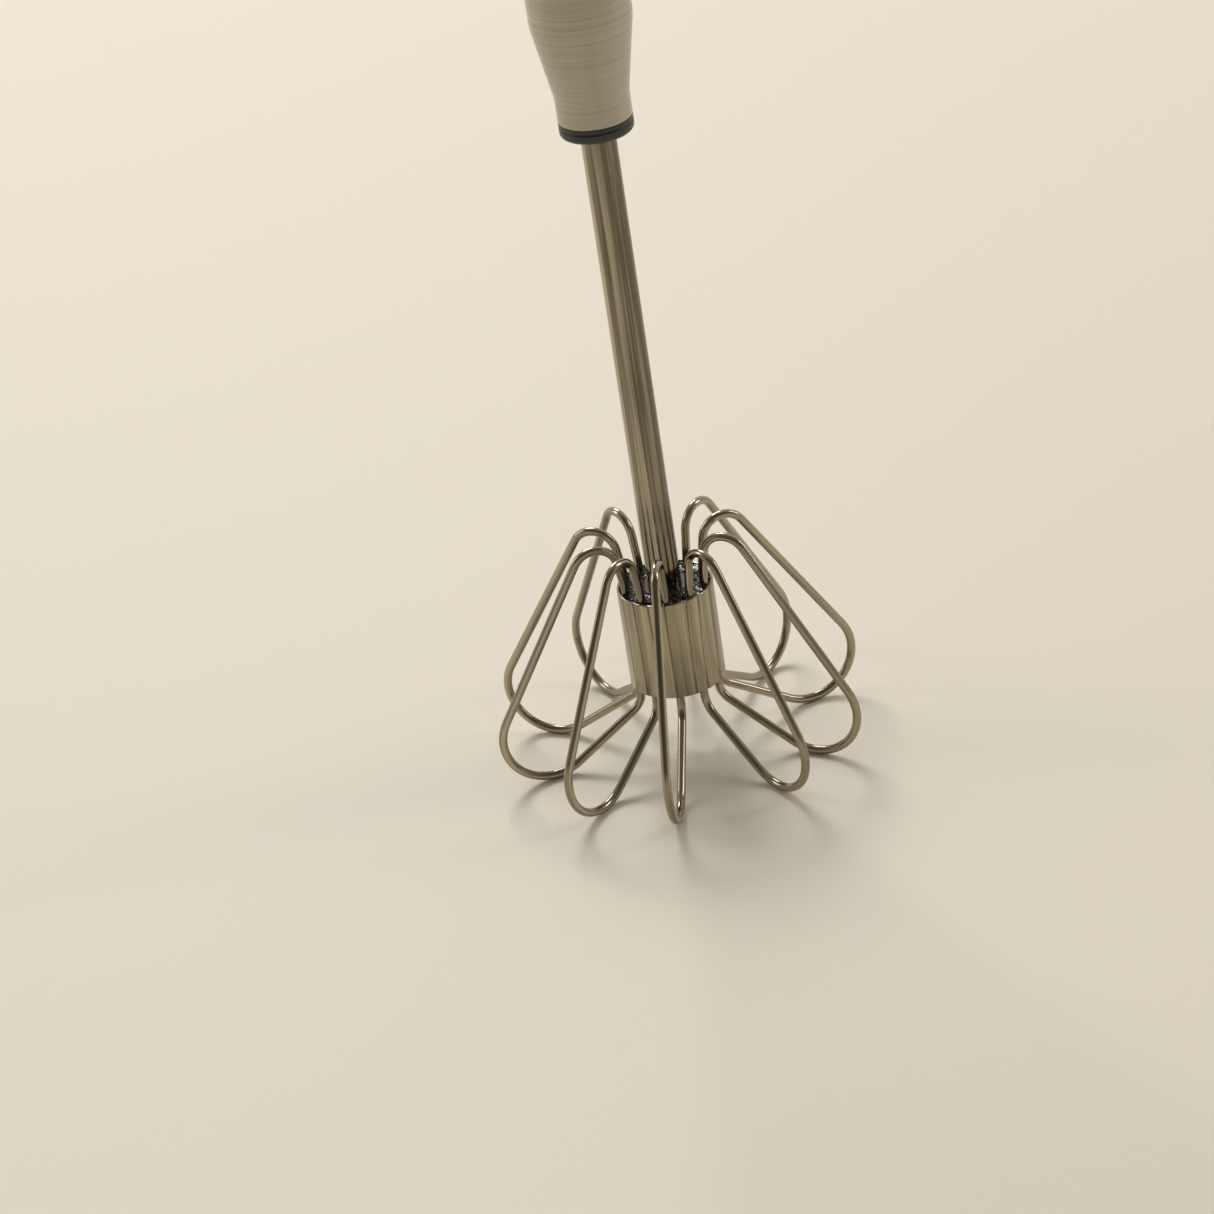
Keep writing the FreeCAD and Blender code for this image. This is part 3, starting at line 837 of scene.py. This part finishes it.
# %% Cap
cap_low, cap_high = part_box("handle_cap")
BAND_H = 2.5 * MM
PRESS_GAP = 0.05 * MM
CAP_DOME_STEPS = 24
skirt_r = GRIP_R - SHELL_WALL - PRESS_GAP
band_top = shell_high.z + BAND_H
cap_outline = [(skirt_r, cap_low.z), (skirt_r, shell_high.z)]
band_corner = (GRIP_R - SHELL_EDGE_R, shell_high.z + SHELL_EDGE_R)
cap_outline += rounded(band_corner, SHELL_EDGE_R, -90, 0)
cap_outline += [(GRIP_R, band_top)]
cap_outline += domed(GRIP_R, band_top, cap_high.z - band_top, CAP_DOME_STEPS)
cap = capped("grip_cap", cap_outline, WIDE_SIDES, angle=25)
cap.data.materials.append(FINISHES["cap_steel"])
place(cap, "handle", "cap_steel", "handle_cap")


# %% [markdown]
# ## The bush and its wiper
# A black bush fills the neck's mouth and guides the spindle. Its lower edge is well rounded and
# has a shallow groove round it. It is bored out at its mouth, to hold a soft wiper ring.

# %% Guide bush
RUN_GAP = 0.05 * MM
FLANGE_EDGE = 1.0 * MM
GROOVE_R = 0.25 * MM
GROOVE_DROP = 0.9 * MM
MOUTH_GAP = 0.05 * MM
MOUTH_EDGE = 0.15 * MM
MOUTH_FLARE = 0.2 * MM
bush_low, bush_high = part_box("guide_bush")
wiper_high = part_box("wiper_ring")[1]
WIPER_R = wiper_high.x
bush_bore_r = TUBE_R + RUN_GAP
bush_spigot_r = NECK_R - SHELL_WALL - PRESS_GAP
mouth_r = WIPER_R + MOUTH_GAP
mouth_end = wiper_high.z + RUN_GAP
flange_corner = (NECK_R - FLANGE_EDGE, bush_low.z + FLANGE_EDGE)
bush_outline = [(mouth_r, bush_low.z + MOUTH_EDGE), (WIPER_R + MOUTH_FLARE, bush_low.z)]
bush_outline += rounded(flange_corner, FLANGE_EDGE, -90, 0, 10)
bush_outline += rounded((NECK_R, shell_low.z - GROOVE_DROP), GROOVE_R, -90, -270, 8)
bush_outline += [(NECK_R, shell_low.z), (bush_spigot_r, shell_low.z)]
bush_outline += [(bush_spigot_r, bush_high.z), (bush_bore_r, bush_high.z)]
bush_outline += [(bush_bore_r, mouth_end), (mouth_r, mouth_end)]
bush = turned("neck_bush", bush_outline)
bush.data.materials.append(FINISHES["bush_plastic"])
place(bush, "handle", "bush_plastic", "guide_bush")


# %% [markdown]
# The wiper keeps batter out of the handle. It has a thin lip that all but touches the spindle.

# %% Wiper ring
LIP = 0.35 * MM
LIP_BACK = 3  # how wide the lip is at its root, in lips
HOLLOW_R, HOLLOW_H = 2.6, 1.6  # the hollow behind the lip, in lips
wiper_outline = [(WIPER_R, wiper_high.z), (TUBE_R + LIP_BACK * LIP, wiper_high.z)]
wiper_outline += [(TUBE_R + RUN_GAP + LIP, wiper_high.z - LIP)]
wiper_outline += [(TUBE_R + RUN_GAP, bush_low.z + LIP)]
wiper_outline += rounded((TUBE_R + RUN_GAP + LIP / 2, bush_low.z + LIP / 2), LIP / 2, 180, 300, 5)
wiper_outline += [(TUBE_R + HOLLOW_R * LIP, bush_low.z + HOLLOW_H * LIP)]
wiper_outline += rounded((WIPER_R - LIP, bush_low.z + LIP), LIP, -120, 0, 5)
wiper = turned("wiper_lip", wiper_outline)
wiper.data.materials.append(FINISHES["wiper_rubber"])
place(wiper, "handle", "wiper_rubber", "wiper_ring")


# %% [markdown]
# ## The return spring
# A spring is wire wound on a rod. A small upright ring stands where the wire starts, and a screw
# modifier winds it round the axis while it climbs, once for each coil, as the winding machine
# does. The top end is held in the handle.

# %% Spring
spring_low, spring_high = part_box("return_spring")
SPRING_WIRE_R = 0.55 * MM
SPRING_WIRE_SIDES = 14
SPRING_COILS = 18
COIL_STEPS = 36
SPRING_END_GAP = 0.01 * MM
spring_length = spring_high.z - spring_low.z
spring_start = (spring_high.x - SPRING_WIRE_R, 0, spring_low.z + SPRING_WIRE_R + SPRING_END_GAP)
deselect()
bpy.ops.mesh.primitive_circle_add(
    vertices=SPRING_WIRE_SIDES,
    radius=SPRING_WIRE_R,
    location=spring_start,
    rotation=(math.pi / 2, 0, 0),
)
spring = bpy.context.object
spring.name = spring.data.name = "wound_spring"
bpy.ops.object.transform_apply(location=True, rotation=True)
bpy.ops.object.modifier_add(type="SCREW")
winding = spring.modifiers[0]
winding.screw_offset = (spring_length - 2 * (SPRING_WIRE_R + SPRING_END_GAP)) / SPRING_COILS
winding.iterations = SPRING_COILS
winding.steps = winding.render_steps = COIL_STEPS
bpy.ops.object.modifier_apply(modifier=winding.name)
bpy.ops.object.mode_set(mode="EDIT")
bpy.ops.mesh.select_all(action="DESELECT")
bpy.ops.mesh.select_non_manifold()
bpy.ops.mesh.edge_face_add()
finish_mesh(spring, angle=60)
spring.data.materials.append(FINISHES["spring_steel"])
place(spring, "handle", "spring_steel", "return_spring")
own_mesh(spring)


# %% [markdown]
# ## The floor
# Polished steel shows what is round it, so the floor and the lights matter as much as the
# metal. The floor is a plain pale cream, which warms the lower side of every wire.

# %% Floor
FLOOR_SIZE = 6
CREAM = (0.87, 0.82, 0.69)
FLOOR_ROUGHNESS = 0.6
deselect()
bpy.ops.mesh.primitive_plane_add(size=FLOOR_SIZE, location=(0, 0, 0))
floor = bpy.context.object
floor.name = "floor"
floor_material, _, floor_shader = new_material("floor_cream")
floor_shader.inputs["Base Color"].default_value = (*CREAM, 1)
floor_shader.inputs["Roughness"].default_value = FLOOR_ROUGHNESS
floor.data.materials.append(floor_material)
print("floor", FLOOR_SIZE, "m across")


# %% [markdown]
# ## Light
# A wide soft window behind the whisk makes the gentle shadow and the highlights on the bends.
# Two tall panels stand far off at the sides. The room is pale at the level of the floor, dark
# overhead and brightest behind the whisk, because a wire only looks polished when it reflects
# both light and dark.

# %% Lights and world
def panel(name, place_at, look_at, width, height, power, colour):
    """A soft rectangular light that faces a point."""
    light = bpy.data.lights.new(name, "AREA")
    light.shape = "RECTANGLE"
    light.size, light.size_y = width, height
    light.energy = power
    light.color = colour
    lamp = bpy.data.objects.new(name, light)
    bpy.context.collection.objects.link(lamp)
    lamp.location = place_at
    lamp.rotation_euler = (Vector(look_at) - Vector(place_at)).to_track_quat("-Z", "Y").to_euler()


HEAD_AT = (0, 0, 0.05)
panel("window_behind", (-0.5, 1.9, 1.9), HEAD_AT, 1.1, 0.8, 32, (1.0, 0.985, 0.96))
panel("left_window", (-2.0, 0.5, 1.1), HEAD_AT, 0.6, 1.2, 6, (1.0, 0.99, 0.97))
panel("right_window", (1.9, 0.2, 1.2), HEAD_AT, 0.5, 1.2, 7, (1.0, 0.98, 0.95))

HEIGHT_RANGE = (0.05, 0.45)
BACK_RANGE = (-0.4, 0.9)
LOW_ROOM, HIGH_ROOM, BACK_ROOM = (0.70, 0.655, 0.56), (0.15, 0.135, 0.115), (0.95, 0.92, 0.86)
ROOM_STRENGTH = 0.85
world = bpy.data.worlds.new("studio")
bpy.context.scene.world = world
world.use_nodes = True
background = world.node_tree.nodes["Background"]
direction = add(world.node_tree, "ShaderNodeTexCoord").outputs["Generated"]
parts = add(world.node_tree, "ShaderNodeSeparateXYZ", [(direction, "Vector")])
height_mask = remap(world.node_tree, parts.outputs["Z"], *HEIGHT_RANGE)
back_mask = remap(world.node_tree, parts.outputs["Y"], *BACK_RANGE)
room = mix_colours(world.node_tree, height_mask, LOW_ROOM, HIGH_ROOM)
bright_links = [(back_mask, "Factor"), (room, "A")]
bright = add(world.node_tree, "ShaderNodeMix", bright_links, data_type="RGBA")
bright.inputs["B"].default_value = (*BACK_ROOM, 1)
world.node_tree.links.new(bright.outputs["Result"], background.inputs["Color"])
background.inputs["Strength"].default_value = ROOM_STRENGTH
print("lights:", len(bpy.data.lights))


# %% [markdown]
# ## Camera
# The camera stands in front and looks down at the head, 29 degrees below level, through a long
# lens. Its place is built up in steps: aim, heading, tilt, roll, then step back.

# %% Camera
LENS = 107
SENSOR_WIDTH = 36
VIEW_HEADING = math.radians(3)
VIEW_DOWN = math.radians(29)
VIEW_ROLL = math.radians(-9)
VIEW_DISTANCE = 0.745
AIM_AT = Vector((-0.0125, 0, RIM_Z - 0.004))
camera_data = bpy.data.cameras.new("camera")
camera_data.sensor_width = SENSOR_WIDTH
camera_data.lens = LENS
camera = bpy.data.objects.new("camera", camera_data)
bpy.context.collection.objects.link(camera)
heading = Matrix.Rotation(VIEW_HEADING, 4, "Z")
tilt = Matrix.Rotation(math.pi / 2 - VIEW_DOWN, 4, "X")
roll = Matrix.Rotation(VIEW_ROLL, 4, "Z")
step_back = Matrix.Translation((0, 0, VIEW_DISTANCE))
camera.matrix_world = Matrix.Translation(AIM_AT) @ heading @ tilt @ roll @ step_back
bpy.context.scene.camera = camera
bpy.context.scene.view_settings.view_transform = "Standard"
print("camera at", [round(value, 3) for value in camera.matrix_world.translation])
